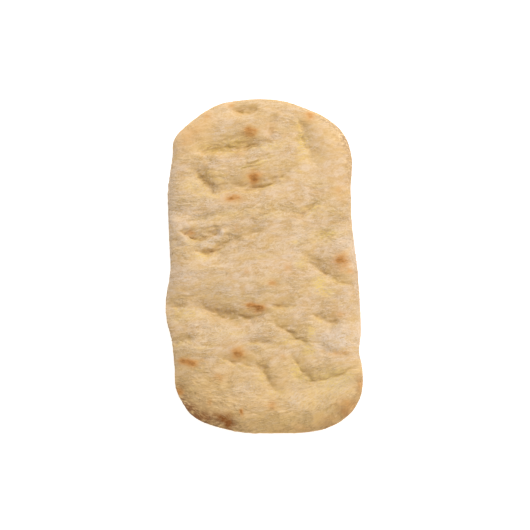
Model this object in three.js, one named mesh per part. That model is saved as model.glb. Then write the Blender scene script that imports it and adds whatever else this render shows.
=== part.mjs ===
// A baked pizza crust of the long Roman kind: one flat loaf of dough, stretched by hand into a rounded
// oblong, with finger folds and puffed blisters on top, a rounded rim all round and a flat base.
//
// Frame: millimetres. The crust lies flat with its base on z = 0. +Y runs along its length, from the
// broad near end to the domed far end, +X across its width, +Z up. The origin is at the middle of the
// bounding box, on the base.
import * as THREE from "three";

// Driving dimensions.
const LENGTH = 334;
const WIDTH = 185;
const THICKNESS = 14.5; // base to top where there is neither fold nor puff
const WAIST_HEIGHT = 7; // height of the rim's widest line
const SHOULDER = 11; // how far in from the widest line the rim's upper rounding reaches
const NEAR_SHOULDER = 15; // the same at the near end, which slopes down more gently
const NEAR_SLOPE = [-150, -60]; // where along the length the one changes into the other
const FOOT = 8; // how far in from the widest line the flat base begins
const RIM_SWELL = 1.6; // how much the dough stands up just inside the rim
const RIM_SWELL_PLACE = 19; // how far in from the widest line that swelling lies
const RIM_SWELL_SPREAD = 11;
const FOLD_SHARPNESS = 1.5; // how a fold's flanks fall: 1 is a sharp valley and 2 a round trough
const FOLD_END_POWER = 4; // how suddenly a fold ends
const FOLD_END_WIDTH = 0.5; // share of a fold's width that is left past its ends

// How finely the faces are cut.
const CELLS_ACROSS = 38;
const CELLS_ALONG = 70;
const SHOULDER_STEPS = 5;
const FOOT_STEPS = 3;
const CURVE_STEPS = 24; // steps along the outline between two of its points, before it is evened out
const TANGENT_REACH = 2; // places to each side that a rim's direction is taken from

// The outline of the widest line seen from above, anticlockwise, as four sides. Each side starts at a
// corner of the oblong, and the next side's first point ends it.
const OUTLINE = {
  near: [[-75, -138], [-65, -151], [-46, -160], [-20, -166], [12, -167], [45, -165.5], [68, -158]],
  right: [
    [85, -143], [92, -126], [92.5, -104], [90, -89], [92, -70], [91, -30],
    [89, 0], [86, 25], [84.5, 68], [86, 106],
  ],
  far: [[80, 128], [65, 145], [40, 158], [12, 167], [-20, 166.5], [-46, 161], [-70, 144]],
  left: [
    [-87, 125], [-88.5, 108], [-92, 70], [-90.3, 25], [-88.5, -8], [-92.5, -42],
    [-91, -58], [-85.5, -80], [-83, -104], [-81.5, -123],
  ],
};

// Folds: valleys pressed into the dough. Each runs from one end to the other along a bow, which
// leans towards the far side where it is positive, and has its own width on its far and near sides.
const FOLDS = [
  { name: "far rim fold", from: [-34, 156], to: [-5, 156], bow: -5, depth: 4.4, far: 8, near: 5 },
  { name: "upper band", from: [-64, 108], to: [0, 118], bow: -1.5, depth: 4.6, far: 10, near: 4 },
  { name: "upper hollow", from: [-56, 111], to: [-4, 120], bow: 0, depth: 1.8, far: 12, near: 6 },
  { name: "far dent", from: [9, 148], to: [4, 124], bow: 0, depth: 2, far: 6, near: 4 },
  { name: "far right dent", from: [35, 141], to: [41, 114], bow: 0, depth: 3.2, far: 7, near: 6 },
  { name: "below the far right dent", from: [42, 118], to: [52, 92], bow: 0, depth: 1.8, far: 12, near: 9 },
  { name: "upper left pocket", from: [-67, 92], to: [-47, 66], bow: 0, depth: 5.2, far: 6, near: 6 },
  { name: "pocket sill", from: [-50, 66], to: [-21, 75], bow: 0.5, depth: 2.6, far: 8, near: 4.5 },
  { name: "upper middle fold", from: [-26, 71], to: [26, 91], bow: -6, depth: 4.6, far: 8, near: 6 },
  { name: "left crack", from: [-88, 42], to: [-39, 44], bow: 0, depth: 1.8, far: 9, near: 4 },
  { name: "olive crack", from: [-73, 37], to: [-54, 41], bow: 0, depth: 1.2, far: 3, near: 2 },
  { name: "left pocket", from: [-77, 27], to: [-40, 31], bow: -9, depth: 6.4, far: 7, near: 4.5 },
  { name: "under the ridge", from: [-65, 7], to: [-32, 22], bow: -6, depth: 4.8, far: 7, near: 6.5 },
  { name: "long diagonal", from: [-38, 19], to: [-2, 29], bow: -1, depth: 2.8, far: 8, near: 9 },
  { name: "left edge notch", from: [-94, 18], to: [-78, 19], bow: 0, depth: 2, far: 5, near: 4.5 },
  { name: "right crack", from: [31, 38], to: [51, 57], bow: 0, depth: 2.6, far: 3, near: 3.5 },
  { name: "middle crack", from: [8, 49], to: [36, 46], bow: 1, depth: 1.6, far: 6, near: 4.5 },
  { name: "right edge fold", from: [60, 32], to: [80, 41], bow: 0, depth: 1.4, far: 4, near: 4.5 },
  { name: "right diagonal", from: [42, 17], to: [66, 29], bow: 0, depth: 1.6, far: 6, near: 6 },
  { name: "right crescent", from: [41, 2], to: [84, -26], bow: -4.5, depth: 3.6, far: 8, near: 5 },
  { name: "great fold", from: [-58, -45], to: [2, -53], bow: -8, depth: 5.6, far: 7, near: 9 },
  { name: "left edge fold", from: [-95, -44], to: [-74, -46], bow: 0, depth: 1.8, far: 5, near: 4 },
  { name: "small fold", from: [8, -47], to: [30, -46], bow: 0, depth: 2.2, far: 5, near: 4.5 },
  { name: "right fold", from: [48, -55], to: [70, -65], bow: -1, depth: 3.4, far: 5, near: 6 },
  { name: "middle diagonal", from: [11, -62], to: [41, -83], bow: -1, depth: 3.4, far: 7, near: 6 },
  { name: "floury fold", from: [52, -88], to: [80, -96], bow: 0, depth: 1.3, far: 3.5, near: 4.5 },
  { name: "lower left fold", from: [-88, -81], to: [-65, -78], bow: 0, depth: 2.2, far: 7, near: 4.5 },
  { name: "tick", from: [-14, -81], to: [6, -83], bow: 0, depth: 2.2, far: 4, near: 3 },
  { name: "lower middle fold", from: [-40, -96], to: [-11, -104], bow: -2, depth: 3, far: 8, near: 6 },
  { name: "left of the wedge", from: [-7, -102], to: [11, -127], bow: 0, depth: 2.4, far: 4, near: 5 },
  { name: "below the wedge", from: [2, -126], to: [19, -131], bow: 0, depth: 1.4, far: 4, near: 4.5 },
  { name: "right of the wedge", from: [28, -96], to: [46, -119], bow: -2, depth: 3.8, far: 5.5, near: 6 },
  { name: "near curve", from: [41, -120], to: [92, -103], bow: -3, depth: 2.2, far: 2.6, near: 5 },
];

// Puffs: round blisters of dough, or dents where the rise is negative.
const PUFFS = [
  { name: "far left puff", at: [-28, 133], size: [32, 12], rise: 2 },
  { name: "far right puff", at: [58, 116], size: [19, 26], rise: 1.2 },
  { name: "far right pit", at: [38, 134], size: [5, 6], rise: -1.8 },
  { name: "right end of the band", at: [-14, 119], size: [12, 9], rise: -1.6 },
  { name: "upper ridge", at: [-2, 109], size: [24, 6], rise: 1 },
  { name: "upper middle puff", at: [-17, 92], size: [25, 9], rise: 1.2 },
  { name: "hollow by the spot", at: [-14, 75], size: [13, 7], rise: -2.4 },
  { name: "ridge under the spot", at: [-26, 67], size: [14, 5], rise: 1.2 },
  { name: "dent right of the ridge", at: [-7, 67], size: [8, 8], rise: -3 },
  { name: "left edge dent", at: [-84, 48], size: [11, 6], rise: -2.4 },
  { name: "floury ridge, low end", at: [-56, 14], size: [6, 5], rise: 1.2 },
  { name: "floury ridge, middle", at: [-49, 20], size: [6, 5], rise: 1.3 },
  { name: "floury ridge, high end", at: [-39, 27], size: [4.5, 5], rise: 1.6 },
  { name: "left of the great hollow", at: [-84, -48], size: [14, 16], rise: -2 },
  { name: "speckled dent", at: [-34, -5], size: [12, 5], rise: -0.7 },
  { name: "great puff", at: [-24, -24], size: [44, 20], rise: 2.4 },
  { name: "great hollow", at: [-54, -47], size: [42, 21], rise: -6.4 },
  { name: "below the great hollow", at: [-62, -75], size: [38, 20], rise: -1.8 },
  { name: "right puff", at: [73, 5], size: [14, 16], rise: 1.2 },
  { name: "middle right puff", at: [31, -58], size: [17, 10], rise: 0.8 },
  { name: "floury puff", at: [68, -75], size: [17, 11], rise: 1.4 },
  { name: "dent by the flour", at: [52, -84], size: [6, 5], rise: -1.2 },
  { name: "lower middle puff", at: [-23, -89], size: [17, 10], rise: 1.4 },
  { name: "pit left of the wedge", at: [-1, -106], size: [5, 6], rise: -2.8 },
  { name: "wedge puff", at: [56, -109], size: [17, 8], rise: 0.5 },
  { name: "puff between the folds", at: [16, -110], size: [12, 12], rise: 0.8 },
  { name: "near rim fall", at: [8, -182], size: [95, 32], rise: -2.7 },
  { name: "left side fall", at: [-104, -76], size: [24, 60], rise: -3.6 },
  { name: "lower left hollow", at: [-106, -164], size: [46, 46], rise: -13 },
];

const CRUST_COLOUR = 0xdcb98a;

// How far in the rim rounds over at a place along the length.
function shoulderAt(y) {
  const towardsNear = 1 - THREE.MathUtils.smoothstep(y, ...NEAR_SLOPE);
  return THREE.MathUtils.lerp(SHOULDER, NEAR_SHOULDER, towardsNear);
}

// The height that a fold takes off at a place: most along its bow, and little past its two ends, where
// it is also narrower.
function foldDepth(x, y, { from, to, bow, depth, far, near }) {
  const run = Math.hypot(to[0] - from[0], to[1] - from[1]);
  const along = [(to[0] - from[0]) / run, (to[1] - from[1]) / run];
  const offset = [x - from[0], y - from[1]];
  const share = (offset[0] * along[0] + offset[1] * along[1]) / run;
  const held = THREE.MathUtils.clamp(share, 0, 1);
  const side = offset[1] * along[0] - offset[0] * along[1] - 4 * bow * held * (1 - held);
  const taper = Math.exp(-((2 * Math.abs(share - 0.5)) ** FOLD_END_POWER));
  const flank = (side > 0 ? far : near) * THREE.MathUtils.lerp(FOLD_END_WIDTH, 1, taper);
  return depth * taper * Math.exp(-(Math.abs(side / flank) ** FOLD_SHARPNESS));
}

function puffRise(x, y, { at, size, rise }) {
  return rise * Math.exp(-(((x - at[0]) / size[0]) ** 2) - ((y - at[1]) / size[1]) ** 2);
}

// The height of the dough's top at a place that lies a given way in from the widest line.
function topHeight(x, y, inset) {
  const swell = RIM_SWELL * Math.exp(-(((inset - RIM_SWELL_PLACE) / RIM_SWELL_SPREAD) ** 2));
  const puffs = PUFFS.reduce((sum, puff) => sum + puffRise(x, y, puff), 0);
  const folds = FOLDS.reduce((sum, fold) => sum + foldDepth(x, y, fold), 0);
  return THICKNESS + swell + puffs - folds;
}

// Points spaced evenly along a polyline: its start and the steps after it, without its end.
function spacedEvenly(line, steps) {
  const reach = [0];
  line.slice(1).forEach((p, i) => reach.push(reach[i] + p.distanceTo(line[i])));
  const points = [];
  let k = 1;
  for (let i = 0; i < steps; i++) {
    const target = (reach.at(-1) * i) / steps;
    while (reach[k] < target) k++;
    const share = (target - reach[k - 1]) / (reach[k] - reach[k - 1]);
    points.push(line[k - 1].clone().lerp(line[k], share));
  }
  return points;
}

// The widest line as a closed ring of points, with the same number of cells on facing sides.
function outlineRing() {
  const sides = Object.values(OUTLINE);
  const points = sides.flat().map(([x, y]) => new THREE.Vector3(x, y, 0));
  const curve = new THREE.CatmullRomCurve3(points, true, "centripetal");
  const ring = [];
  let first = 0;
  sides.forEach((side, i) => {
    const line = [];
    for (let k = 0; k <= side.length * CURVE_STEPS; k++)
      line.push(curve.getPoint(((first + k / CURVE_STEPS) / points.length) % 1));
    ring.push(...spacedEvenly(line, i % 2 ? CELLS_ALONG : CELLS_ACROSS));
    first += side.length;
  });
  return fitted(ring);
}

// The ring moved and stretched so that its box is centred and has the stated length and width.
function fitted(ring) {
  const box = new THREE.Box3().setFromPoints(ring);
  const middle = box.getCenter(new THREE.Vector3());
  const size = box.getSize(new THREE.Vector3());
  const scale = new THREE.Vector3(WIDTH / size.x, LENGTH / size.y, 1);
  return ring.map((p) => p.clone().sub(middle).multiply(scale));
}

// The way out of the dough at each point of the ring, level with the table.
function outwards(ring) {
  const at = (i) => ring[(i + ring.length) % ring.length];
  return ring.map((_, i) => {
    const along = at(i + TANGENT_REACH).clone().sub(at(i - TANGENT_REACH)).normalize();
    return new THREE.Vector3(along.y, -along.x, 0);
  });
}

// A place inside four sides, blended from them, where u and v run from 0 to 1 across and along.
function blended(ring, column, row) {
  const u = column / CELLS_ACROSS;
  const v = row / CELLS_ALONG;
  const near = ring[column];
  const right = ring[CELLS_ACROSS + row];
  const far = ring[2 * CELLS_ACROSS + CELLS_ALONG - column];
  const left = ring[(ring.length - row) % ring.length];
  const corners = [
    [ring[0], (1 - u) * (1 - v)],
    [ring[CELLS_ACROSS], u * (1 - v)],
    [ring[CELLS_ACROSS + CELLS_ALONG], u * v],
    [ring[2 * CELLS_ACROSS + CELLS_ALONG], (1 - u) * v],
  ];
  const place = new THREE.Vector3();
  place.addScaledVector(near, 1 - v).addScaledVector(far, v);
  place.addScaledVector(left, 1 - u).addScaledVector(right, u);
  corners.forEach(([corner, share]) => place.addScaledVector(corner, -share));
  return place;
}

// How far a place lies in from the ring, to the nearest of its points.
function insetOf(place, ring) {
  return Math.min(...ring.map((p) => Math.hypot(p.x - place.x, p.y - place.y)));
}

// One closed surface: rings of points from the flat base round the rim to the shoulder, then the top.
function crustGeometry() {
  const widest = outlineRing();
  const out = outwards(widest);
  const count = widest.length;
  const vertices = [];
  const faces = [];

  const addRing = (reachAt, angle, heightAt) => {
    widest.forEach((p, i) => {
      const inset = reachAt(p.y) * (1 - Math.cos(angle));
      const place = p.clone().addScaledVector(out[i], -inset);
      place.z = heightAt(place, inset);
      vertices.push(place);
    });
  };
  for (let k = FOOT_STEPS; k > 0; k--) {
    const angle = (k / FOOT_STEPS) * (Math.PI / 2);
    addRing(() => FOOT, angle, () => WAIST_HEIGHT * (1 - Math.sin(angle)));
  }
  for (let k = 0; k <= SHOULDER_STEPS; k++) {
    const angle = (k / SHOULDER_STEPS) * (Math.PI / 2);
    const rounded = ({ x, y }, inset) =>
      WAIST_HEIGHT + (topHeight(x, y, inset) - WAIST_HEIGHT) * Math.sin(angle);
    addRing(shoulderAt, angle, rounded);
  }
  const rings = FOOT_STEPS + SHOULDER_STEPS + 1;
  for (let k = 0; k < rings - 1; k++)
    for (let i = 0; i < count; i++) {
      const next = (i + 1) % count;
      const [a, b] = [k * count + i, k * count + next];
      faces.push([a, b, b + count], [a, b + count, a + count]);
    }

  // The base is one flat polygon.
  const foot = vertices.slice(0, count).map((p) => new THREE.Vector2(p.x, p.y));
  THREE.ShapeUtils.triangulateShape(foot, []).forEach(([a, b, c]) => faces.push([a, c, b]));

  // The top is a grid whose border is the shoulder's last ring.
  const shoulder = vertices.slice(-count);
  const firstOfShoulder = (rings - 1) * count;
  const grid = [];
  for (let row = 0; row <= CELLS_ALONG; row++)
    for (let column = 0; column <= CELLS_ACROSS; column++) {
      let index;
      if (row === 0) index = firstOfShoulder + column;
      else if (column === CELLS_ACROSS) index = firstOfShoulder + CELLS_ACROSS + row;
      else if (row === CELLS_ALONG) index = firstOfShoulder + 2 * CELLS_ACROSS + CELLS_ALONG - column;
      else if (column === 0) index = firstOfShoulder + count - row;
      else {
        const place = blended(shoulder, column, row);
        place.z = topHeight(place.x, place.y, insetOf(place, widest));
        index = vertices.push(place) - 1;
      }
      grid.push(index);
    }
  const cell = (column, row) => grid[row * (CELLS_ACROSS + 1) + column];
  for (let row = 0; row < CELLS_ALONG; row++)
    for (let column = 0; column < CELLS_ACROSS; column++) {
      const [a, b] = [cell(column, row), cell(column + 1, row)];
      const [c, d] = [cell(column + 1, row + 1), cell(column, row + 1)];
      faces.push([a, b, c], [a, c, d]);
    }

  const geometry = new THREE.BufferGeometry();
  const positions = new Float32Array(vertices.flatMap((p) => [p.x, p.y, p.z]));
  geometry.setAttribute("position", new THREE.BufferAttribute(positions, 3));
  geometry.setIndex(faces.flat());
  geometry.computeVertexNormals();
  return geometry;
}

function crustMesh() {
  const material = new THREE.MeshStandardMaterial({ color: CRUST_COLOUR, roughness: 0.85, metalness: 0 });
  const mesh = new THREE.Mesh(crustGeometry(), material);
  mesh.name = "crust";
  return mesh;
}

const part = new THREE.Group();
part.add(crustMesh());
export default part;
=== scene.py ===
"""A long hand-stretched pizza crust, baked and dusted with flour, on a plain pale floor.

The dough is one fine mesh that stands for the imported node. Its outline, folds and puffs are the node's
own, and its wrinkles, cracks and grain are worked out from noise. Lengths here are in millimetres, and
the mesh is made in metres.
"""
import math

import bpy
import numpy as np
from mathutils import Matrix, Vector, kdtree, noise


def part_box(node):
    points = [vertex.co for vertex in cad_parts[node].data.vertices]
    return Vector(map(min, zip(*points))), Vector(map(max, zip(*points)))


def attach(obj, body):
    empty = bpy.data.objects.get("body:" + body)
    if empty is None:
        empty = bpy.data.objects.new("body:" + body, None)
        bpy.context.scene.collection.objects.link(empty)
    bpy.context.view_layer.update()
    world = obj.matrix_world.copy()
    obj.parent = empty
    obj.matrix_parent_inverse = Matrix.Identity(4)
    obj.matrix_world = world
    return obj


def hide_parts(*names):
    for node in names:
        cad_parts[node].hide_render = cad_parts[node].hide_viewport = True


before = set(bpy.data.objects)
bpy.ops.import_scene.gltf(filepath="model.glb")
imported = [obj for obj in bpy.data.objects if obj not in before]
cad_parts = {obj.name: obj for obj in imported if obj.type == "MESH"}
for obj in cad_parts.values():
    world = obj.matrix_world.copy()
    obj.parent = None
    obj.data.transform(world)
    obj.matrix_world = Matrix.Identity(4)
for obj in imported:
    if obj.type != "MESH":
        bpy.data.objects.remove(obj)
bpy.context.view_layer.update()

MM = 0.001
LOW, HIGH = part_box("crust")
WIDTH = (HIGH.x - LOW.x) / MM
LENGTH = (HIGH.y - LOW.y) / MM

# The form of the dough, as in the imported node.
THICKNESS = 14.5
WAIST_HEIGHT = 7.0  # of the widest line above the table
SHOULDER = 11.0  # how far in from the widest line the rim still rounds over
NEAR_SHOULDER = 15.0  # the same at the near end, which slopes down more gently
NEAR_SLOPE = (-60, -150)  # where along the length the one changes into the other
FOOT = 8.0  # how far in under the widest line the dough meets the table
RIM_SWELL = 1.6  # how much thicker the dough is along its rim
RIM_SWELL_PLACE = 19.0
RIM_SWELL_SPREAD = 11.0
FOLD_SHARPNESS = 1.5  # how a fold's flanks fall: 1 is a sharp valley and 2 a round trough
FOLD_END_WIDTH = 0.5  # a fold's width at its ends, as a share of its width halfway
FOLD_TAPER = 4  # how suddenly a fold ends

# How finely the mesh is cut.
CELLS_ACROSS = 140
CELLS_ALONG = 440
SHOULDER_STEPS = 10
FOOT_STEPS = 5
CURVE_STEPS = 60
TANGENT_REACH = 0.009  # share of the ring to each side that a rim's direction is taken from
GRID_UNDER_FOOT = 2.0  # how far inside the foot the coarser grid of the underside starts

# How folds and creases are drawn out.
WANDER = 1.8  # how far they wander from their drawn lines
FOLD_UNEVENNESS = 0.35  # how much deeper or shallower a fold is here and there, as a share
CREASE_WIDTH = 1.0
CREASED_DEPTH = 3.0  # a fold as deep as this has the sharpest line along it
LIP_PLACE = 2.6  # how far on the near side of a crease its raised lip lies
LIP_WIDTH = 1.7

# The noise that shapes and marks the dough, as (lump size, octaves, seed).
NOISE = {
    "wander across": ((9, 7, 7), 3, 31),
    "wander along": ((9, 7, 7), 3, 32),
    "fold depth": ((14, 9, 9), 2, 33),
    "swirl": ((30, 22, 22), 2, 14),
    "roughness": ((26, 18, 18), 2, 5),
    "lumps": ((20, 15, 15), 2, 3),
    "wrinkles": ((13, 5, 5), 3, 4),
    "cracks": ((11, 3.6, 3.6), 2, 6),
    "cracked areas": ((20, 14, 14), 2, 7),
    "grain": ((3.2, 1.9, 1.9), 2, 8),
    "breaks in creases": ((7, 5, 5), 2, 9),
    "ledges": ((12, 3.5, 3.5), 2, 16),
    "breaks in marks": ((4, 3, 3), 2, 11),
    "mark drift across": ((12, 9, 9), 2, 12),
    "mark drift along": ((12, 9, 9), 2, 13),
    "charring": ((9, 4.5, 4.5), 3, 15),
    "hollows underneath": ((16, 12, 12), 3, 21),
}
SEED_STEP = np.array([7.31, 3.77, 5.19])  # how far apart in the noise two seeds lie
OCTAVE_FALL = 1.0  # how much weaker each octave is than the one before
OCTAVE_GAP = 2.0  # how many times finer each octave is than the one before

# The widest line seen from above, anticlockwise, as four sides.
OUTLINE = {
    "near": [(-75, -138), (-65, -151), (-46, -160), (-20, -166), (12, -167), (45, -165.5), (68, -158)],
    "right": [(85, -143), (92, -126), (92.5, -104), (90, -89), (92, -70), (91, -30), (89, 0), (86, 25),
              (84.5, 68), (86, 106)],
    "far": [(80, 128), (65, 145), (40, 158), (12, 167), (-20, 166.5), (-46, 161), (-70, 144)],
    "left": [(-87, 125), (-88.5, 108), (-92, 70), (-90.3, 25), (-88.5, -8), (-92.5, -42), (-91, -58),
             (-85.5, -80), (-83, -104), (-81.5, -123)],
}

# Folds: valleys pressed into the dough, as (start, end, bow, depth, far flank, near flank).
FOLDS = {
    "far rim fold": ((-34, 156), (-5, 156), -5, 4.4, 8, 5),
    "upper band": ((-64, 108), (0, 118), -1.5, 4.6, 10, 4),
    "upper hollow": ((-56, 111), (-4, 120), 0, 1.8, 12, 6),
    "far dent": ((9, 148), (4, 124), 0, 2.0, 6, 4),
    "far right dent": ((35, 141), (41, 114), 0, 3.2, 7, 6),
    "below the far right dent": ((42, 118), (52, 92), 0, 1.8, 12, 9),
    "upper left pocket": ((-67, 92), (-47, 66), 0, 5.2, 6, 6),
    "pocket sill": ((-50, 66), (-21, 75), 0.5, 2.6, 8, 4.5),
    "upper middle fold": ((-26, 71), (26, 91), -6, 4.6, 8, 6),
    "left crack": ((-88, 42), (-39, 44), 0, 1.8, 9, 4),
    "olive crack": ((-73, 37), (-54, 41), 0, 1.2, 3, 2),
    "left pocket": ((-77, 27), (-40, 31), -9, 6.4, 7, 4.5),
    "under the ridge": ((-65, 7), (-32, 22), -6, 4.8, 7, 6.5),
    "long diagonal": ((-38, 19), (-2, 29), -1, 2.8, 8, 9),
    "left edge notch": ((-94, 18), (-78, 19), 0, 2.0, 5, 4.5),
    "right crack": ((31, 38), (51, 57), 0, 2.6, 3, 3.5),
    "middle crack": ((8, 49), (36, 46), 1, 1.6, 6, 4.5),
    "right edge fold": ((60, 32), (80, 41), 0, 1.4, 4, 4.5),
    "right diagonal": ((42, 17), (66, 29), 0, 1.6, 6, 6),
    "right crescent": ((41, 2), (84, -26), -4.5, 3.6, 8, 5),
    "great fold": ((-58, -45), (2, -53), -8, 5.6, 7, 9),
    "left edge fold": ((-95, -44), (-74, -46), 0, 1.8, 5, 4),
    "small fold": ((8, -47), (30, -46), 0, 2.2, 5, 4.5),
    "right fold": ((48, -55), (70, -65), -1, 3.4, 5, 6),
    "middle diagonal": ((11, -62), (41, -83), -1, 3.4, 7, 6),
    "floury fold": ((52, -88), (80, -96), 0, 1.3, 3.5, 4.5),
    "lower left fold": ((-88, -81), (-65, -78), 0, 2.2, 7, 4.5),
    "tick": ((-14, -81), (6, -83), 0, 2.2, 4, 3),
    "lower middle fold": ((-40, -96), (-11, -104), -2, 3.0, 8, 6),
    "left of the wedge": ((-7, -102), (11, -127), 0, 2.4, 4, 5),
    "below the wedge": ((2, -126), (19, -131), 0, 1.4, 4, 4.5),
    "right of the wedge": ((28, -96), (46, -119), -2, 3.8, 5.5, 6),
    "near curve": ((41, -120), (92, -103), -3, 2.2, 2.6, 5),
}

# Folds whose near side has no raised lip.
SOFT_FOLDS = ("far rim fold", "upper hollow", "far dent", "below the far right dent", "long diagonal",
              "great fold", "middle diagonal", "floury fold", "left of the wedge", "below the wedge")

# Puffs: round blisters of dough, as (centre, size, rise). A dent has a negative rise.
PUFFS = {
    "far left puff": ((-28, 133), (32, 12), 2.0),
    "far right puff": ((58, 116), (19, 26), 1.2),
    "far right pit": ((38, 134), (5, 6), -1.8),
    "right end of the band": ((-14, 119), (12, 9), -1.6),
    "upper ridge": ((-2, 109), (24, 6), 1.0),
    "upper middle puff": ((-17, 92), (25, 9), 1.2),
    "hollow by the spot": ((-14, 75), (13, 7), -2.4),
    "ridge under the spot": ((-26, 67), (14, 5), 1.2),
    "dent right of the ridge": ((-7, 67), (8, 8), -3.0),
    "left edge dent": ((-84, 48), (11, 6), -2.4),
    "floury ridge, low end": ((-56, 14), (6, 5), 1.2),
    "floury ridge, middle": ((-49, 20), (6, 5), 1.3),
    "floury ridge, high end": ((-39, 27), (4.5, 5), 1.6),
    "left of the great hollow": ((-84, -48), (14, 16), -2.0),
    "speckled dent": ((-34, -5), (12, 5), -0.7),
    "great puff": ((-24, -24), (44, 20), 2.4),
    "great hollow": ((-54, -47), (42, 21), -6.4),
    "below the great hollow": ((-62, -75), (38, 20), -1.8),
    "right puff": ((73, 5), (14, 16), 1.2),
    "middle right puff": ((31, -58), (17, 10), 0.8),
    "floury puff": ((68, -75), (17, 11), 1.4),
    "dent by the flour": ((52, -84), (6, 5), -1.2),
    "lower middle puff": ((-23, -89), (17, 10), 1.4),
    "pit left of the wedge": ((-1, -106), (5, 6), -2.8),
    "wedge puff": ((56, -109), (17, 8), 0.5),
    "puff between the folds": ((16, -110), (12, 12), 0.8),
    "near rim fall": ((8, -182), (95, 32), -2.7),
    "left side fall": ((-104, -76), (24, 60), -3.6),
    "lower left hollow": ((-106, -164), (46, 46), -13.0),
}

# Creases: lines too fine for the node, as (start, end, bow, depth).
CREASES = [
    ((-17, 101), (13, 109), -1, 1.0), ((-26, 93), (6, 104), -1, 1.2), ((-23, 90), (0, 96), 0, 0.9),
    ((28, 94), (39, 91), 0, 0.5), ((14, 79), (27, 76), 0, 0.5), ((46, 76), (60, 75), 0, 0.6),
    ((-84, 62), (-73, 63), 0, 0.5), ((-84, 56), (-61, 56), 0, 0.6), ((-91, 51), (-76, 47), 0, 0.5),
    ((-57, 90), (-34, 87), 0, 0.8), ((-50, 84), (-38, 82), 0, 0.7), ((-22, 4), (2, 6), 0, 0.5),
    ((-5, 43), (7, 46), 0, 0.6), ((-26, -35), (0, -38), 0, 0.5), ((-1, -29), (12, -28), 0, 0.5),
    ((31, -38), (38, -37), 0, 0.5), ((-64, -85), (-45, -82), 0, 0.5),
    ((-91, -58), (-76, -55), 0, 0.5), ((54, 13), (72, 28), 0, 0.5), ((56, -32), (80, -47), 0, 0.5),
    ((20, 126), (27, 122), 0, 0.5), ((35, 51), (54, 56), 0, 0.6), ((64, 52), (76, 45), 0, 0.5),
    ((-75, 91), (-61, 91), 0, 0.5), ((-52, -131), (-36, -132), 0, 0.4),
    ((54, -149), (75, -135), 0, 0.4), ((34, -160), (61, -149), 0, 0.4),
    ((13, -160), (34, -149), 0, 0.4), ((-72, -125), (-55, -119), 0, 0.4),
    ((-68, -109), (-53, -103), 0, 0.4),
]

# Where the skin is rougher or smoother than elsewhere, as (centre, size, more or less).
ROUGH_PATCHES = [
    ((64, 105), (30, 50), -0.6), ((-52, 45), (34, 40), 0.35), ((-20, 115), (26, 10), 0.3),
    ((36, 48), (30, 16), 0.2), ((20, -158), (80, 16), 0.8), ((66, -110), (24, 10), 0.3),
    ((-4, 5), (24, 14), -0.25),
]

# Toasted spots, as (centre, size, strength).
TOASTED_SPOTS = [
    ((-13, 130), (7.5, 6.0), 0.75), ((7, 131), (5, 8), 0.22), ((-9, 83), (6.6, 6.0), 0.92),
    ((-29, 61), (9, 4.6), 0.7), ((45, 146), (5.5, 5.5), 0.66), ((73, -3), (8.5, 8.5), 0.66),
    ((-68, 27), (3.8, 3.0), 0.5), ((-25, 31), (2.9, 4.0), 0.3), ((-13, -46), (5.5, 4.0), 0.65),
    ((-4, -48), (6, 3.6), 0.85), ((8, -25), (4.5, 3.8), 0.6), ((24, -9), (4.8, 5.0), 0.35),
    ((-24, -93), (8.5, 6.0), 0.75), ((-74, -100), (5.5, 3.4), 0.75), ((-66, -103), (5.5, 3.8), 0.9),
    ((-57, -98), (2.9, 2.0), 0.35), ((-42, -116), (5.7, 5.0), 0.42), ((8, -143), (4.8, 5.0), 0.47),
    ((-20, -149), (2.4, 4.0), 0.7), ((-50, -140), (3.8, 4.0), 0.35), ((19, -97), (3.8, 3.0), 0.3),
    ((-16, -14), (3.8, 3.0), 0.3), ((82, -13), (3.8, 3.0), 0.35), ((-23, 106), (4.8, 4.0), 0.25),
    ((71, -93), (10, 2.8), 0.4), ((-76, 124), (12, 14), 0.25), ((-54, 146), (6, 5), 0.3),
    ((-60, 136), (14, 11), 0.2), ((-32, 158), (5, 4), 0.35), ((73, 68), (6, 8), 0.25),
    ((72, -55), (9, 5), 0.3), ((-77.5, -128), (3.5, 4), 0.8), ((89, -122), (4, 12), 0.35),
    ((77, -142), (10, 6), 0.35), ((60, -154), (14, 4), 0.3), ((36, -162), (12, 3), 0.3),
]

# Browning along the rim, as (centre, size, strength).
RIM_BURNS = [
    ((-37, -154), (8, 4.5), 1.0), ((-31, -160), (5, 4), 1.0), ((-55, -152), (11, 4.5), 0.7),
    ((-66, -144), (7, 6), 0.5), ((-79, -127), (3.5, 5), 0.8), ((92, -124), (3, 8), 0.5),
    ((74, -146), (8, 6), 0.5), ((60, -160), (10, 4), 0.5), ((36, -166), (9, 3), 0.4),
    ((15, -165), (7, 3), 0.25), ((86, -144), (5, 6), 0.6), ((79, -151), (6, 4), 0.5),
]

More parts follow.
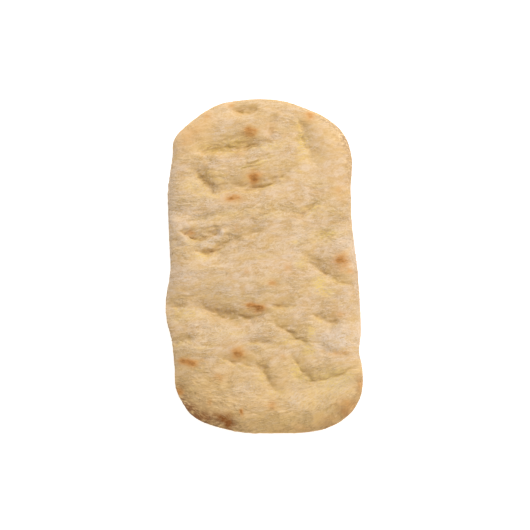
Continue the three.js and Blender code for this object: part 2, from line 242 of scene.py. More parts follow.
# Flour left on the dough, as (centre, size, strength).
FLOUR_PATCHES = [
    ((71, -78), (19, 11), 1.0), ((-39, 129), (14, 6), 0.7), ((-56, 13), (5, 4), 0.9),
    ((-50, 18), (5, 4), 1.1), ((-44, 23), (5, 4), 1.1), ((-39, 27), (4, 4), 0.9),
    ((74, -122), (14, 12), 0.35), ((46, -136), (26, 24), 0.25), ((-8, 110), (16, 5), 0.5),
    ((-72, -17), (12, 9), 0.6), ((35, 23), (12, 8), 0.5), ((25, 8), (12, 10), 0.4),
    ((29, -133), (5, 10), 0.5), ((-17, -126), (12, 7), 0.5), ((-79, 40), (12, 26), 0.4),
    ((-32, -32), (26, 11), 0.55), ((66, -90), (14, 8), 0.6), ((-46, -70), (16, 6), 0.4),
    ((-91, 55), (6, 48), 0.7), ((-91, -15), (6, 34), 0.7), ((-86, -92), (6, 22), 0.2),
    ((88, 8), (8, 30), 0.7), ((93, -55), (5, 40), 0.4), ((-57, 38), (26, 28), 0.4),
    ((-90, 118), (8, 14), 0.6), ((76, 16), (14, 8), 0.5), ((72, -3), (12, 11), 0.6),
]

# Where the rim is darker, as (centre, size, strength): partly browned in the oven and partly painted shade
# along its turned-down edges.
BROWNED_AND_SHADED_EDGES = [
    ((-60, -146), (28, 20), 1.25), ((-82, -136), (9, 16), 0.6), ((-30, -164), (22, 10), 0.5),
    ((84, -146), (15, 15), 0.6), ((91, -125), (8, 9), 0.15), ((46, -164), (26, 8), 0.15),
    ((-96, 30), (10, 50), 0.2), ((-92, -80), (8, 36), 0.35), ((10, 172), (70, 16), 0.3),
    ((88, 110), (16, 70), 0.45), ((68, 146), (26, 16), 0.5), ((86, 128), (12, 18), 0.4),
    ((93, -8), (8, 40), 0.4),
]

# Yellow crumb that shows where the skin is pulled thin, as (centre, size, strength).
YELLOW_PATCHES = [
    ((-46, 113), (18, 4.5), 1.0), ((-27, 120), (12, 5), 1.0), ((4, 114), (12, 4), 0.8),
    ((38, 116), (6, 16), 0.9), ((-66, 72), (12, 6), 0.5), ((-51, 64), (12, 4), 0.6),
    ((-32, 45), (14, 3), 0.5), ((1, 74), (10, 3), 0.7), ((-56, 22), (10, 3), 0.4),
    ((-67, 17), (7, 3.5), 0.7), ((-57, 2), (10, 4), 0.7), ((60, 25), (14, 4), 0.8),
    ((33, 16), (5, 3), 0.7), ((36, -6), (5, 4), 0.8), ((52, -25), (6, 7), 1.2),
    ((60, -33), (9, 4), 0.7), ((50, 50), (12, 8), 0.4), ((-29, -73), (12, 3), 0.5),
    ((30, -81), (16, 5), 0.8), ((44, -72), (4, 5), 1.0), ((43, -90), (5, 5), 1.0),
    ((31, -109), (6, 6), 1.0), ((39, -116), (8, 4), 0.9), ((70, -114), (16, 6), 1.0),
    ((-1, -113), (5, 8), 0.9), ((11, -130), (8, 3), 0.6), ((-69, -52), (20, 6), 0.6),
    ((66, -122), (12, 9), 0.8), ((50, -134), (24, 24), 0.3),
]


def smooth_step(low, high, value):
    """The value's share of the way from low to high, held to 0 to 1 and eased at both ends."""
    t = np.clip((value - low) / (high - low), 0, 1)
    return t * t * (3 - 2 * t)


def noise_at(points, kind):
    """Smooth noise of about -1 to 1 at each point, of one of the kinds in NOISE."""
    cell, octaves, seed = NOISE[kind]
    shifted = points / np.asarray(cell, float) + seed * SEED_STEP
    return np.array([noise.fractal(p, OCTAVE_FALL, OCTAVE_GAP, octaves) for p in shifted.tolist()])


def wandering(x, y):
    """The places shifted a little by noise, so that what is drawn there wanders as dough does."""
    points = np.column_stack([x, y, np.zeros(len(x))])
    return (
        x + noise_at(points, "wander across") * WANDER,
        y + noise_at(points, "wander along") * WANDER,
    )


def spots_at(x, y, spots):
    """How strongly a list of soft oval spots shows at each place."""
    total = np.zeros_like(x)
    for (cx, cy), (rx, ry), strength in spots:
        total += strength * np.exp(-(((x - cx) / rx) ** 2) - ((y - cy) / ry) ** 2)
    return total


# ---- the form of the dough

def fold_place(x, y, start, end, bow):
    """Where a place lies by a fold: its side of the bow, positive on the far side, and its share along."""
    run = math.dist(start, end)
    along = ((end[0] - start[0]) / run, (end[1] - start[1]) / run)
    dx = x - start[0]
    dy = y - start[1]
    share = (dx * along[0] + dy * along[1]) / run
    held = np.clip(share, 0, 1)
    side = dy * along[0] - dx * along[1] - 4 * bow * held * (1 - held)
    return side, share


def taper_of(share):
    """1 along the middle of a line and less towards its ends."""
    return np.exp(-((2 * np.abs(share - 0.5)) ** FOLD_TAPER))


def folds_at(x, y):
    """The height that all the folds take off."""
    total = np.zeros(len(x))
    for start, end, bow, depth, far, near in FOLDS.values():
        side, share = fold_place(x, y, start, end, bow)
        taper = taper_of(share)
        flank = np.where(side > 0, far, near) * (FOLD_END_WIDTH + (1 - FOLD_END_WIDTH) * taper)
        total += depth * taper * np.exp(-np.abs(side / flank) ** FOLD_SHARPNESS)
    return total


def creases_at(x, y):
    """The sharp line of each fold and crease, and the lip along its near side, each from 0 to 1."""
    lines = [(start, end, bow, min(1, depth / CREASED_DEPTH), name not in SOFT_FOLDS)
             for name, (start, end, bow, depth, _, _) in FOLDS.items()]
    lines += [(*crease, True) for crease in CREASES]
    deepest = np.zeros(len(x))
    lips = np.zeros(len(x))
    for start, end, bow, depth, lipped in lines:
        side, share = fold_place(x, y, start, end, bow)
        strength = depth * taper_of(share)
        deepest = np.maximum(deepest, strength * np.exp(-((side / CREASE_WIDTH) ** 2)))
        if lipped:
            lips = np.maximum(lips, strength * np.exp(-(((side + LIP_PLACE) / LIP_WIDTH) ** 2)))
    return deepest, lips


def shoulder_at(y):
    """How far in the rim rounds over, which grows towards the near end."""
    return SHOULDER + (NEAR_SHOULDER - SHOULDER) * smooth_step(*NEAR_SLOPE, y)


def top_height(x, y, inset):
    """The height of the top at each place, which lies the inset in from the widest line."""
    swell = RIM_SWELL * np.exp(-(((inset - RIM_SWELL_PLACE) / RIM_SWELL_SPREAD) ** 2))
    points = np.column_stack([x, y, np.zeros(len(x))])
    uneven = 1 + FOLD_UNEVENNESS * noise_at(points, "fold depth")
    return THICKNESS + swell + spots_at(x, y, PUFFS.values()) - folds_at(*wandering(x, y)) * uneven


def curve_between(p0, p1, p2, p3, steps):
    """Points of a centripetal Catmull-Rom curve from p1 up to p2."""
    d0, d1, d2 = (math.sqrt(math.dist(a, b)) for a, b in ((p0, p1), (p1, p2), (p2, p3)))
    p0, p1, p2, p3 = (np.array(p, float) for p in (p0, p1, p2, p3))
    leave = d1 * ((p1 - p0) / d0 - (p2 - p0) / (d0 + d1) + (p2 - p1) / d1)
    arrive = d1 * ((p2 - p1) / d1 - (p3 - p1) / (d1 + d2) + (p3 - p2) / d2)
    t = (np.arange(steps) / steps)[:, None]
    from_start = (1 + 2 * t) * (1 - t) ** 2 * p1 + t * (1 - t) ** 2 * leave
    to_end = t * t * (3 - 2 * t) * p2 + t * t * (t - 1) * arrive
    return from_start + to_end


def spaced_evenly(line, steps):
    """The given number of places at even steps along a line, without its last point."""
    reach = np.concatenate([[0], np.cumsum(np.linalg.norm(np.diff(line, axis=0), axis=1))])
    wanted = np.arange(steps) / steps * reach[-1]
    return np.column_stack([np.interp(wanted, reach, line[:, axis]) for axis in (0, 1)])


def outline_ring(across, along):
    """The widest line as a closed ring, with the same number of cells on facing sides."""
    sides = list(OUTLINE.values())
    corners = [p for side in sides for p in side]
    count = len(corners)
    ring = []
    first = 0
    for i, side in enumerate(sides):
        pieces = []
        for k in range(first, first + len(side)):
            around = [corners[(k + offset) % count] for offset in (-1, 0, 1, 2)]
            pieces.append(curve_between(*around, CURVE_STEPS))
        first += len(side)
        line = np.vstack([*pieces, [corners[first % count]]])
        ring.append(spaced_evenly(line, along if i % 2 else across))
    ring = np.vstack(ring)
    low, high = ring.min(axis=0), ring.max(axis=0)
    return (ring - (low + high) / 2) * np.array([WIDTH, LENGTH]) / (high - low)


def outwards(ring):
    """The direction straight out from each point of the ring."""
    reach = max(1, round(TANGENT_REACH * len(ring)))
    along = np.roll(ring, -reach, axis=0) - np.roll(ring, reach, axis=0)
    along /= np.linalg.norm(along, axis=1)[:, None]
    return np.column_stack([along[:, 1], -along[:, 0]])


def blended_grid(ring, across, along):
    """A grid of places blended from a ring's four sides, as rows from the near side to the far."""
    u = np.linspace(0, 1, across + 1)[None, :, None]
    v = np.linspace(0, 1, along + 1)[:, None, None]
    near = ring[: across + 1][None]
    right = ring[across : across + along + 1][:, None]
    far = ring[across + along : 2 * across + along + 1][::-1][None]
    left = np.vstack([ring[2 * across + along :], ring[:1]])[::-1][:, None]
    place = near * (1 - v) + far * v + left * (1 - u) + right * u
    place -= near[:, :1] * (1 - u) * (1 - v) + near[:, -1:] * u * (1 - v)
    place -= far[:, -1:] * u * v + far[:, :1] * (1 - u) * v
    return place


def inset_of(places, ring):
    """How far each place lies in from the ring."""
    tree = kdtree.KDTree(len(ring))
    for i, (x, y) in enumerate(ring):
        tree.insert((x, y, 0), i)
    tree.balance()
    return np.array([tree.find((x, y, 0))[2] for x, y in places])


class Surface:
    """The vertices and faces of the dough as they are made."""

    def __init__(self):
        self.blocks = []
        self.count = 0
        self.faces = []

    def add(self, points):
        """Takes in more vertices and gives their numbers."""
        self.blocks.append(points)
        first = self.count
        self.count += len(points)
        return np.arange(first, self.count)

    def strip(self, lower, upper):
        """Joins two closed rings of the same number of vertices."""
        quads = np.column_stack([lower, np.roll(lower, -1), np.roll(upper, -1), upper])
        self.faces += quads.tolist()

    def halving_strip(self, fine, coarse):
        """Joins a closed ring to one with half as many vertices, which lies inside it, underneath."""
        first, middle, last = fine[0::2], fine[1::2], np.roll(fine[0::2], -1)
        following = np.roll(coarse, -1)
        self.faces += np.column_stack([first, coarse, middle]).tolist()
        self.faces += np.column_stack([middle, coarse, following]).tolist()
        self.faces += np.column_stack([middle, following, last]).tolist()

    def grid(self, index, up=True):
        """Faces between rows of vertices, turned up or down."""
        a, b = index[:-1, :-1].ravel(), index[:-1, 1:].ravel()
        c, d = index[1:, 1:].ravel(), index[1:, :-1].ravel()
        order = [a, b, c, d] if up else [a, d, c, b]
        self.faces += np.column_stack(order).tolist()


def border_of(across, along):
    """The rows and columns of a grid's border, in the order of its ring."""
    columns = [*range(across), *[across] * along, *range(across, 0, -1), *[0] * along]
    rows = [*[0] * across, *range(along), *[along] * across, *range(along, 0, -1)]
    return np.array(rows), np.array(columns)


def add_grid(surface, border_points, border_index, across, along, heights, up):
    """A grid whose border is a ring that is already there."""
    places = blended_grid(border_points, across, along)
    index = np.zeros((along + 1, across + 1), int)
    rows, columns = border_of(across, along)
    index[rows, columns] = border_index
    inner = places[1:-1, 1:-1].reshape(-1, 2)
    index[1:-1, 1:-1] = surface.add(np.column_stack([inner, heights(inner)])).reshape(along - 1, across - 1)
    surface.grid(index, up)


def dough_surface():
    """The whole closed form, before its fine relief."""
    ring = outline_ring(CELLS_ACROSS, CELLS_ALONG)
    out = outwards(ring)
    shoulder = shoulder_at(ring[:, 1])
    surface = Surface()

    def add_ring(reach, angle, height_at):
        inset = reach * (1 - math.cos(angle))
        places = ring - out * inset[:, None]
        heights = height_at(places[:, 0], places[:, 1], inset)
        return surface.add(np.column_stack([places, heights])), places

    rings = []
    for k in range(FOOT_STEPS, 0, -1):
        angle = k / FOOT_STEPS * math.pi / 2
        low = WAIST_HEIGHT * (1 - math.sin(angle))
        rings.append(add_ring(np.full(len(ring), FOOT), angle, lambda x, y, inset: np.full(len(x), low)))
    for k in range(SHOULDER_STEPS + 1):
        angle = k / SHOULDER_STEPS * math.pi / 2
        rise = math.sin(angle)
        rings.append(add_ring(
            shoulder, angle,
            lambda x, y, inset: WAIST_HEIGHT + (top_height(x, y, inset) - WAIST_HEIGHT) * rise,
        ))
    for (lower, _), (upper, _) in zip(rings, rings[1:]):
        surface.strip(lower, upper)

    brow_index, brow = rings[-1]
    add_grid(
        surface, brow, brow_index, CELLS_ACROSS, CELLS_ALONG,
        lambda inner: top_height(inner[:, 0], inner[:, 1], inset_of(inner, ring)), up=True,
    )

    foot_index, foot = rings[0]
    coarse = (foot - out * GRID_UNDER_FOOT)[0::2]
    coarse_index = surface.add(np.column_stack([coarse, np.zeros(len(coarse))]))
    surface.halving_strip(foot_index, coarse_index)
    add_grid(
        surface, coarse, coarse_index, CELLS_ACROSS // 2, CELLS_ALONG // 2,
        lambda inner: np.zeros(len(inner)), up=False,
    )
    return surface


# ---- the fine relief and the marks of baking

# Where the skin is golden and where it stays pale, each pair from none to full.
GOLDEN_NEAR_END = (-85, -125)
GOLDEN_FAR_END = (125, 158)
GOLDEN_FAR_SHARE = 0.5
GOLDEN_SHOULDERS = [((-72, 128), (26, 22), 1.0), ((80, 128), (22, 30), 1.0)]
PALE_LEFT_EDGE = (-70, -90)
PALE_EDGE_NEAR_END = (-120, -80)
PALE_EDGE_FAR_END = (110, 80)

# How the streaks lie, as the dough was drawn out.
STREAK_LEAN = 0.20  # how much they rise to the right
STREAK_SWIRL = 4.0
BENT_NEAR_END = (-85, -140)
NEAR_END_BEND = 0.004  # how much they bend there, for each millimetre from the middle

# How rough the skin is, where 1 is fully wrinkled.
USUAL_ROUGHNESS = 0.85
ROUGHNESS_DRIFT = 0.5
ROUGHNESS_LIMITS = (0.3, 1.5)

# How far the parts of the fine relief stand out or lie in.
LUMP_HEIGHT = 0.45
WRINKLE_HEIGHT = 0.75
GRAIN_HEIGHT = 0.12
CRACK_DEPTH = 0.35
LEDGE_HEIGHT = 0.2  # for each millimetre of the fold that it lies in
CREASE_DEPTH = 0.5
LIP_HEIGHT = 0.5
SIDE_RELIEF = 0.15  # share of the relief that is left where the skin faces down

# Where the noise gives cracks and breaks the creases, each pair from none to full.
CRACK_FALL = 2.4  # how fast the noise falls away from the line of a crack
CRACK_LINE = (0.74, 1.0)
CRACK_SHADE = 0.5  # how dark the painted shade in a crack is, where a crease is 1
CRACKED_AREA = (-0.1, 0.35)
CREASE_BREAK = (-0.35, 0.25)

# How far the skin faces up, where 1 is straight up and -1 straight down. Each pair is from none to full.
CREASED_ABOVE = 0.1
RELIEF_FROM_SIDE = (-0.3, 0.2)
MARKED_FROM_SIDE = (0.0, 0.5)
ON_FLOOR_BELOW = -0.6
UNDERSIDE_FROM_SIDE = (0.3, 0.8)  # how far it faces down

HOLLOW_HEIGHT = 0.7  # of the hollows in the underside

# How far the skin leans to the near or far side, for painted shade and painted highlight, each pair from
# none to full.
LEANING_NEAR = (0.03, 0.35)
LEANING_FAR = (0.03, 0.3)
NOT_TOO_STEEP = (0.6, 0.4)  # the painted highlight on the far side fades out on steeper slopes

# How the marks of baking drift and break up.
MARK_DRIFT = 2.0
MARK_BREAKING = 0.45
CHARRED_USUALLY = 0.9
CHARRING_DRIFT = 0.7
GOLDEN_EVEN_SHARE = 0.7  # share of the golden colour that doesn't break up
SUNK_DEPTH = 4.0  # a fold as deep as this gets the full painted shade
BAKED_BAND = (12.0, 4.0)  # how far in from the outline the rim is browned and shaded, from least to full
BAKED_FURTHER_IN = 0.2  # share of the browning and painted shade further in


def mesh_of(surface, name):
    """The surface as a smooth mesh in metres."""
    mesh = bpy.data.meshes.new(name)
    mesh.from_pydata((np.vstack(surface.blocks) * MM).tolist(), [], surface.faces)
    mesh.shade_smooth()
    return mesh


def coordinates(mesh):
    """The mesh's vertices in millimetres."""
    flat = np.empty(len(mesh.vertices) * 3)
    mesh.vertices.foreach_get("co", flat)
    return flat.reshape(-1, 3) / MM


def normals(mesh):
    """The direction that the mesh faces at each vertex."""
    flat = np.empty(len(mesh.vertices) * 3)
    mesh.vertices.foreach_get("normal", flat)
    return flat.reshape(-1, 3)


def golden_at(x, y):
    """How golden the skin is: most at the near end, along the far rim and at its shoulders."""
    near_end = smooth_step(*GOLDEN_NEAR_END, y)
    far_end = smooth_step(*GOLDEN_FAR_END, y)
    shoulders = spots_at(x, y, GOLDEN_SHOULDERS)
    left_edge = smooth_step(*PALE_LEFT_EDGE, x)
    left_edge *= smooth_step(*PALE_EDGE_NEAR_END, y) * smooth_step(*PALE_EDGE_FAR_END, y)
    return np.clip(near_end + GOLDEN_FAR_SHARE * far_end + shoulders - left_edge, 0, 1)


def streak_places(points):
    """Places sheared so that streaks drawn level there lean as the dough was drawn out."""
    x, y, z = points.T
    bend = NEAR_END_BEND * x * x * smooth_step(*BENT_NEAR_END, y)
    swirl = noise_at(points, "swirl") * STREAK_SWIRL
    return np.column_stack([x, y - STREAK_LEAN * x - bend + swirl, z])


def roughness_at(points):
    """How rough the skin is, from least where it was stretched smooth."""
    x, y, _ = points.T
    drift = noise_at(points, "roughness")
    rough = USUAL_ROUGHNESS + ROUGHNESS_DRIFT * drift + spots_at(x, y, ROUGH_PATCHES)
    return np.clip(rough, *ROUGHNESS_LIMITS)


def relief(points, facing, rough):
    """How far the skin stands out along its normal, in millimetres, and its lines and their lips."""
    x, y, z = points.T
    shifted_x, shifted_y = wandering(x, y)
    streaked = streak_places(np.column_stack([shifted_x, shifted_y, z]))
    lumps = noise_at(points, "lumps")
    wrinkles = np.abs(noise_at(streaked, "wrinkles"))
    ridges = 1 - np.abs(noise_at(streaked, "cracks")) * CRACK_FALL
    cracks = smooth_step(*CRACK_LINE, ridges) * smooth_step(*CRACKED_AREA, noise_at(points, "cracked areas"))
    grain = noise_at(streaked, "grain")
    broken = smooth_step(*CREASE_BREAK, noise_at(points, "breaks in creases"))
    shown = broken * (facing > CREASED_ABOVE)
    creases, lips = (lines * shown for lines in creases_at(shifted_x, shifted_y))
    ledges = folds_at(shifted_x, shifted_y) * noise_at(streaked, "ledges")

    skin = lumps * LUMP_HEIGHT
    skin += (wrinkles * WRINKLE_HEIGHT + grain * GRAIN_HEIGHT - cracks * CRACK_DEPTH) * rough
    skin += ledges * LEDGE_HEIGHT - creases * CREASE_DEPTH + lips * LIP_HEIGHT
    top = smooth_step(*RELIEF_FROM_SIDE, facing)
    return skin * (SIDE_RELIEF + (1 - SIDE_RELIEF) * top), creases + CRACK_SHADE * cracks, lips


def paint(mesh, name, values):
    """Keeps a number of 0 to 2 at each vertex, which the material reads by its name."""
    layer = mesh.attributes.new(name, "FLOAT", "POINT")
    layer.data.foreach_set("value", np.clip(values, 0, 2).astype(np.float32))


def bake_marks(mesh, points, facing, rough, creases, lips):
    """Where the skin is toasted, floury or pulled thin, and where shade and highlights are painted on it,
    each as a number for the material.
    """
    x, y, _ = points.T
    top = smooth_step(*MARKED_FROM_SIDE, facing)
    broken = 1 + MARK_BREAKING * noise_at(points, "breaks in marks")
    drift_x = x + noise_at(points, "mark drift across") * MARK_DRIFT
    drift_y = y + noise_at(points, "mark drift along") * MARK_DRIFT
    streaked = streak_places(points)
    charring = CHARRED_USUALLY + CHARRING_DRIFT * noise_at(streaked, "charring")
    inset = inset_of(np.column_stack([drift_x, drift_y]), outline_ring(CELLS_ACROSS, CELLS_ALONG))
    band = BAKED_FURTHER_IN + (1 - BAKED_FURTHER_IN) * smooth_step(*BAKED_BAND, inset)
    evenly_golden = GOLDEN_EVEN_SHARE + (1 - GOLDEN_EVEN_SHARE) * broken
    lean = normals(mesh)[:, 1]

    paint(mesh, "toast", spots_at(drift_x, drift_y, TOASTED_SPOTS) * top * broken)
    paint(mesh, "burnt", spots_at(drift_x, drift_y, RIM_BURNS) * charring)
    # Browning along the rim, partly painted shade on its turned-down edges.
    paint(mesh, "browned_and_shaded_edge", spots_at(drift_x, drift_y, BROWNED_AND_SHADED_EDGES) * band)
    paint(mesh, "golden", golden_at(drift_x, drift_y) * evenly_golden)
    paint(mesh, "flour", spots_at(drift_x, drift_y, FLOUR_PATCHES) * top)
    paint(mesh, "yellow", spots_at(drift_x, drift_y, YELLOW_PATCHES) * top)
    # Painted shade: slopes that lean to the near side, away from the key lamp, are painted yellower.
    paint(mesh, "near_lean_shade", smooth_step(*LEANING_NEAR, -lean) * top)
    # Painted highlight: slopes that lean to the far side, towards the key lamp, are painted paler in powdery
    # flecks.
    paint(mesh, "far_lean_light", smooth_step(*LEANING_FAR, lean) * smooth_step(*NOT_TOO_STEEP, lean) * top)
    paint(mesh, "rough", rough)
    # Painted shade along the sharp lines of folds, creases and cracks.
    paint(mesh, "crease", creases)
    # Painted highlight on the raised lip along the near side of each crease, which catches the key lamp.
    paint(mesh, "lip", lips * top)
    # Painted shade down in the folds, darker the deeper the fold.
    paint(mesh, "hollow", folds_at(*wandering(x, y)) / SUNK_DEPTH * top * broken)
    paint(mesh, "underside", smooth_step(*UNDERSIDE_FROM_SIDE, -facing))
    streaks = mesh.attributes.new("streak_place", "FLOAT_VECTOR", "POINT")
    streaks.data.foreach_set("vector", (streaked * MM).ravel().astype(np.float32))


def make_crust():
    """The dough with its fine relief, flat on the floor."""
    mesh = mesh_of(dough_surface(), "dough_crust")
    points = coordinates(mesh)
    directions = normals(mesh)
    facing = directions[:, 2]
    rough = roughness_at(points)
    skin, creases, lips = relief(points, facing, rough)
    moved = points + directions * skin[:, None]
    on_floor = facing < ON_FLOOR_BELOW
    hollows = np.abs(noise_at(points, "hollows underneath")) * HOLLOW_HEIGHT
    moved[on_floor, 2] = points[on_floor, 2] + hollows[on_floor]
    moved[:, 2] = np.maximum(moved[:, 2], 0)
    mesh.vertices.foreach_set("co", (moved * MM).ravel())
    mesh.update()
    bake_marks(mesh, points, facing, rough, creases, lips)
    crust = bpy.data.objects.new("dough_crust", mesh)
    bpy.context.collection.objects.link(crust)
    return crust


# ---- materials

# The material's noise, as (lump size, detail, roughness, shift). What is drawn out follows the streaks.
DRAWN_OUT_TEXTURES = {
    "mottle": ((9, 5, 5), 3, 0.6, (0, 0, 0)),
    "drift": ((30, 14, 14), 3, 0.5, (6, 9, 1)),
    "streaks": ((5.5, 1.9, 1.9), 4, 0.62, (3, 1, 2)),
    "lines": ((5, 1.9, 1.9), 3, 0.6, (2, 6, 4)),
    "crumbs": ((3.2, 1.5, 1.5), 3, 0.6, (9, 2, 5)),
    "grit": ((1.9, 1.2, 1.2), 3, 0.65, (7, 5, 1)),
}
EVEN_TEXTURES = {
    "patches": ((13, 9, 9), 3, 0.5, (4, 8, 2)),
    "browning": ((15, 12, 12), 4, 0.6, (11, 3, 8)),
}

NOISE_MIDDLE = 0.5

# What the painted marks are joined with, each pair from none to full.
TEXTURED_PATCHES = (0.35, 0.62)
TEXTURED_ANYWHERE = 0.35
FLOURED_PATCHES = (0.3, 0.5)
LIP_YELLOW = 0.8  # how strongly a lip takes the yellow crumb colour as a painted highlight on its lit side, where a yellow patch is 1

DOUGH = (216, 178, 128)

# The colours laid over the plain dough one after another, each by a mark and a texture, as
# (mark or None, texture or None, where the texture is at none and at full, largest share, colour).
COLOUR_LAYERS = [
    (None, "mottle", (0.32, 0.66), 1.0, (227, 199, 168)),  # paler dough in soft patches
    (None, "drift", (0.4, 0.64), 0.4, (222, 186, 118)),  # yellower dough in wide patches
    ("textured", "swelling", (0.06, 0.2), 0.5, (236, 210, 172)),  # pale tops of the wrinkles, a painted highlight
    ("textured", "swelling", (0.035, 0.0), 0.65, (194, 152, 90)),  # painted shade in the fine grooves between them
    (None, "grit", (0.52, 0.75), 0.45, (240, 217, 180)),  # pale flecks
    (None, "grit", (0.48, 0.25), 0.55, (196, 154, 100)),  # dark flecks
    ("golden", None, None, 0.5, (230, 189, 125)),  # golden skin
    ("golden", "lines", (0.46, 0.3), 0.6, (190, 150, 92)),  # its dark lines
    ("golden", "lines", (0.54, 0.7), 0.6, (240, 210, 156)),  # its pale lines
    ("pulled_thin_and_lit_lips", "crumbs", (0.38, 0.55), 0.9, (233, 200, 118)),  # yellow crumb, and a painted highlight in the same colour on the lips of creases
    ("floury", "grit", (0.3, 0.6), 1.0, (234, 212, 190)),  # flour
    ("near_lean_shade", "streaks", (0.75, 0.25), 0.6, (226, 188, 122)),  # painted shade: yellower slopes that lean to the near side, away from the key lamp
    ("far_lean_light", "grit", (0.35, 0.8), 1.0, (232, 206, 170)),  # painted highlight: paler, powdery slopes that lean to the far side, towards the key lamp
    ("hollow", "streaks", (0.75, 0.35), 0.5, (200, 164, 102)),  # painted shade down in the folds
    ("crease", None, None, 0.6, (186, 148, 78)),  # painted shade along the sharp lines of folds, creases and cracks
    ("browned_and_shaded_edge", "lines", (0.68, 0.36), 1.1, (150, 112, 76)),  # browned rim, partly painted shade on its turned-down edges
    ("burnt", "grit", (0.1, 0.55), 0.9, (150, 84, 20)),  # burns along the rim
]

# Marks that are held to 1 before their largest share is taken.
HELD_MARKS = ("pulled_thin_and_lit_lips", "burnt")

# Toasted spots, as (how toasted, colour), and how they break up and cover the skin.
TOASTED_GRIT = (0.0, 0.5)
TOASTED_COVER = 1.5
TOAST_COLOURS = [
    (0.0, (229, 182, 120)), (0.4, (221, 161, 92)), (0.75, (196, 136, 73)), (1.0, (164, 112, 61)),
]

# The baked underside, as (how browned, colour).
UNDERSIDE_COLOURS = [
    (0.3, (228, 204, 170)), (0.5, (216, 178, 126)), (0.62, (190, 130, 76)), (0.75, (150, 98, 56)),
]

# The skin's own finish.
STREAK_BUMP = 1.7
GRIT_BUMP = 0.2
DOUGH_ROUGHNESS = 0.78
DOUGH_SPECULAR = 0.25

FLOOR_GREY = 0.6
FLOOR_ROUGHNESS = 0.9
FLOOR_SPECULAR = 0.1
FLOOR_GLOW = 0.8  # which keeps the floor as white as the photograph's


def linear(colour):
    """A screen colour, as red, green and blue of 0 to 255, as Blender's linear colour."""
    def channel(value):
        value /= 255
        return value / 12.92 if value <= 0.04045 else ((value + 0.055) / 1.055) ** 2.4
    return (*(channel(value) for value in colour), 1.0)


class Nodes:
    """Short calls that add and join a material's nodes."""

    def __init__(self, material):
        material.use_nodes = True
        self.tree = material.node_tree
        self.tree.nodes.clear()

    def set_input(self, socket, value):
        """Links a socket to another, or gives it a plain value."""
        if isinstance(value, bpy.types.NodeSocket):
            self.tree.links.new(value, socket)
        else:
            socket.default_value = value

    def add(self, kind, inputs=None, **settings):
        """Adds a node with its settings, and links or fills its inputs."""
        node = self.tree.nodes.new(kind)
        for name, value in settings.items():
            setattr(node, name, value)
        for name, value in (inputs or {}).items():
            self.set_input(node.inputs[name], value)
        return node

    def attribute(self, name):
        """A number that is painted on the mesh."""
        return self.add("ShaderNodeAttribute", attribute_name=name).outputs["Fac"]

    def math(self, operation, first, second=0.0, clamp=False):
        """The result of a sum, held to 0 to 1 where it says so."""
        node = self.add("ShaderNodeMath", {0: first, 1: second}, operation=operation, use_clamp=clamp)
        return node.outputs[0]

    def noise(self, place, size, detail, rough, shift):
        """Noise of 0 to 1, with lumps of the given size in millimetres."""
        scale = tuple(1 / (MM * length) for length in size)
        mapping = self.add("ShaderNodeMapping", {"Vector": place, "Scale": scale, "Location": shift})
        texture = self.add("ShaderNodeTexNoise", {
            "Vector": mapping.outputs[0], "Scale": 1.0, "Detail": detail, "Roughness": rough,
        })
        return texture.outputs["Fac"]

    def between(self, value, low, high):
        """The value's share of the way from low to high, smoothed and held to 0 to 1."""
        node = self.add("ShaderNodeMapRange", {"Value": value, "From Min": low, "From Max": high},
                        interpolation_type="SMOOTHSTEP")
        return node.outputs["Result"]

    def mix(self, share, first, second):
        """A colour that is the given share of the way from the first to the second."""
        node = self.add("ShaderNodeMix", data_type="RGBA")
        for name, value in (("Factor", share), ("A", first), ("B", second)):
            self.set_input(next(s for s in node.inputs if s.name == name and s.enabled), value)
        return next(s for s in node.outputs if s.enabled)

    def ramp(self, value, stops):
        """A colour that follows the value through the stops, as (value, colour)."""
        node = self.add("ShaderNodeValToRGB", {"Fac": value})
        elements = node.color_ramp.elements
        elements[0].position, elements[-1].position = stops[0][0], stops[-1][0]
        elements[0].color, elements[-1].color = linear(stops[0][1]), linear(stops[-1][1])
        for position, colour in stops[1:-1]:
            elements.new(position).color = linear(colour)
        return node.outputs["Color"]


def dough_textures(n):
    """The dough's noise by name."""
    place = n.add("ShaderNodeTexCoord").outputs["Object"]
    drawn_out = n.add("ShaderNodeAttribute", attribute_name="streak_place").outputs["Vector"]
    textures = {name: n.noise(drawn_out, *row) for name, row in DRAWN_OUT_TEXTURES.items()}
    textures.update({name: n.noise(place, *row) for name, row in EVEN_TEXTURES.items()})
    textures["swelling"] = n.math("ABSOLUTE", n.math("SUBTRACT", textures["streaks"], NOISE_MIDDLE))
    return textures


def dough_marks(n, textures):
    """The marks that COLOUR_LAYERS names, as painted on the mesh or joined from what is painted there."""
    painted = ("golden", "near_lean_shade", "far_lean_light", "hollow", "crease", "browned_and_shaded_edge", "burnt")
    marks = {name: n.attribute(name) for name in painted}
    uneven = n.math("ADD", n.between(textures["patches"], *TEXTURED_PATCHES), TEXTURED_ANYWHERE)
    marks["textured"] = n.math("MULTIPLY", uneven, n.attribute("rough"))
    # The lips add their painted highlight to the yellow crumb.
    lips = n.math("MULTIPLY", n.attribute("lip"), LIP_YELLOW)
    marks["pulled_thin_and_lit_lips"] = n.math("ADD", n.attribute("yellow"), lips)
    dusted = n.between(textures["patches"], *FLOURED_PATCHES)
    marks["floury"] = n.math("MULTIPLY", n.attribute("flour"), dusted)
    return marks


def layered_colour(n, textures, marks):
    """The colour of the skin, before its toasted spots."""
    colour = linear(DOUGH)
    for mark, texture, span, share, laid in COLOUR_LAYERS:
        if texture is None:
            amount = marks[mark]
        else:
            amount = n.between(textures[texture], *span)
            if mark:
                amount = n.math("MULTIPLY", marks[mark], amount, clamp=mark in HELD_MARKS)
        colour = n.mix(n.math("MULTIPLY", amount, share), colour, linear(laid))
    return colour


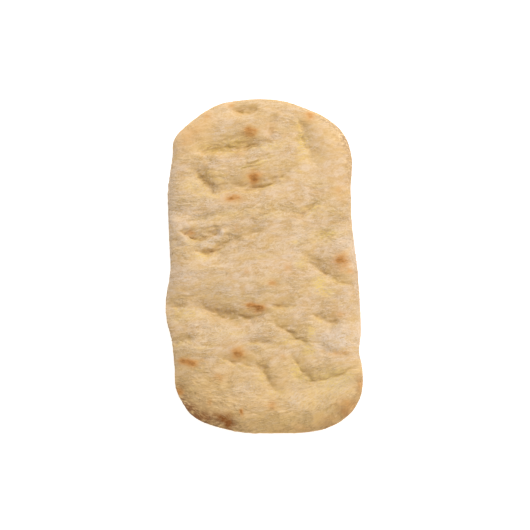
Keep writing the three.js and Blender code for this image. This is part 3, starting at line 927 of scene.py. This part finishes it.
def toasted(n, colour, grit):
    """The colour with the toasted spots over it."""
    toast = n.math("MULTIPLY", n.attribute("toast"), n.between(grit, *TOASTED_GRIT))
    cover = n.math("MULTIPLY", toast, TOASTED_COVER)
    return n.mix(cover, colour, n.ramp(toast, TOAST_COLOURS))


def skin_bump(n, textures, marks):
    """The finest relief, which only bends the light."""
    streaks = n.math("MULTIPLY", textures["swelling"], STREAK_BUMP)
    streaks = n.math("MULTIPLY", streaks, marks["textured"])
    grit = n.math("MULTIPLY", textures["grit"], GRIT_BUMP)
    bump = n.add("ShaderNodeBump", {
        "Height": n.math("ADD", streaks, grit), "Strength": 1.0, "Distance": MM,
    })
    return bump.outputs[0]


def dough_material():
    """Baked dough: its layered colours with painted shade and highlights among them, toasted spots, browned
    underside and matt skin.
    """
    material = bpy.data.materials.new("baked_dough")
    n = Nodes(material)
    textures = dough_textures(n)
    marks = dough_marks(n, textures)
    colour = layered_colour(n, textures, marks)
    colour = toasted(n, colour, textures["grit"])
    baked_under = n.ramp(textures["browning"], UNDERSIDE_COLOURS)
    colour = n.mix(n.attribute("underside"), colour, baked_under)
    shader = n.add("ShaderNodeBsdfPrincipled", {
        "Base Color": colour, "Roughness": DOUGH_ROUGHNESS, "Normal": skin_bump(n, textures, marks),
        "Specular IOR Level": DOUGH_SPECULAR,
    })
    n.add("ShaderNodeOutputMaterial", {"Surface": shader.outputs[0]})
    return material


def floor_material():
    """Plain matt white."""
    material = bpy.data.materials.new("pale_floor")
    n = Nodes(material)
    shader = n.add("ShaderNodeBsdfPrincipled", {
        "Base Color": (FLOOR_GREY, FLOOR_GREY, FLOOR_GREY, 1), "Roughness": FLOOR_ROUGHNESS,
        "Specular IOR Level": FLOOR_SPECULAR, "Emission Color": (1, 1, 1, 1),
        "Emission Strength": FLOOR_GLOW,
    })
    n.add("ShaderNodeOutputMaterial", {"Surface": shader.outputs[0]})
    return material


# ---- the stage, in metres

FLOOR_HALF_SIDE = 4.0
FLOOR_BELOW = 0.1 * MM  # how far the floor lies under the dough

CAMERA_ELEVATION = math.radians(72)
CAMERA_DISTANCE = 1.6
CAMERA_TARGET = Vector((1.4, -5.0, 10.0)) * MM
CAMERA_LENS = 114.5  # lens and sensor in millimetres
CAMERA_SENSOR = 36

# The studio's lamps, as name: (place, width, watts, colour). Each one is aimed at the middle of the dough.
LAMPS = {
    "key": ((0.35, 1.3, 1.5), 0.9, 31.5, (0.98, 0.985, 1.0)),
    "right_fill": ((1.2, -0.2, 0.9), 0.8, 4.2, (0.98, 0.99, 1.0)),
    "near_fill": ((0.4, -1.4, 0.45), 0.8, 3.0, (1.0, 0.98, 0.95)),
}
STUDIO_COLOUR = (1.0, 0.98, 0.94, 1)
STUDIO_STRENGTH = 0.38


def make_floor():
    """One wide square that passes for an endless floor."""
    side, low = FLOOR_HALF_SIDE, -FLOOR_BELOW
    corners = [(-side, -side, low), (side, -side, low), (side, side, low), (-side, side, low)]
    mesh = bpy.data.meshes.new("floor")
    mesh.from_pydata(corners, [], [(0, 1, 2, 3)])
    mesh.materials.append(floor_material())
    floor = bpy.data.objects.new("floor", mesh)
    bpy.context.collection.objects.link(floor)


def aimed(item, eye, target):
    """Puts a camera or lamp at one place and points it at another."""
    item.location = eye
    item.rotation_euler = (Vector(target) - Vector(eye)).to_track_quat("-Z", "Y").to_euler()
    bpy.context.collection.objects.link(item)


def make_camera():
    """A long lens high over the near end, as in the photograph."""
    camera = bpy.data.cameras.new("camera")
    camera.sensor_width = CAMERA_SENSOR
    camera.lens = CAMERA_LENS
    item = bpy.data.objects.new("camera", camera)
    back = Vector((0, -math.cos(CAMERA_ELEVATION), math.sin(CAMERA_ELEVATION)))
    aimed(item, CAMERA_TARGET + back * CAMERA_DISTANCE, CAMERA_TARGET)
    bpy.context.scene.camera = item


def make_lights():
    """Round lamps and the pale light of the studio around them."""
    for name, (place, width, watts, colour) in LAMPS.items():
        light = bpy.data.lights.new(name, "AREA")
        light.shape = "DISK"
        light.size = width
        light.energy = watts
        light.color = colour
        aimed(bpy.data.objects.new(name, light), place, (0, 0, 0))
    world = bpy.data.worlds.new("studio")
    world.use_nodes = True
    background = world.node_tree.nodes["Background"]
    background.inputs["Color"].default_value = STUDIO_COLOUR
    background.inputs["Strength"].default_value = STUDIO_STRENGTH
    bpy.context.scene.world = world
    bpy.context.scene.view_settings.view_transform = "Standard"


make_camera()
make_lights()
make_floor()
crust = make_crust()
crust.data.materials.append(dough_material())
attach(crust, "root")
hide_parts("crust")
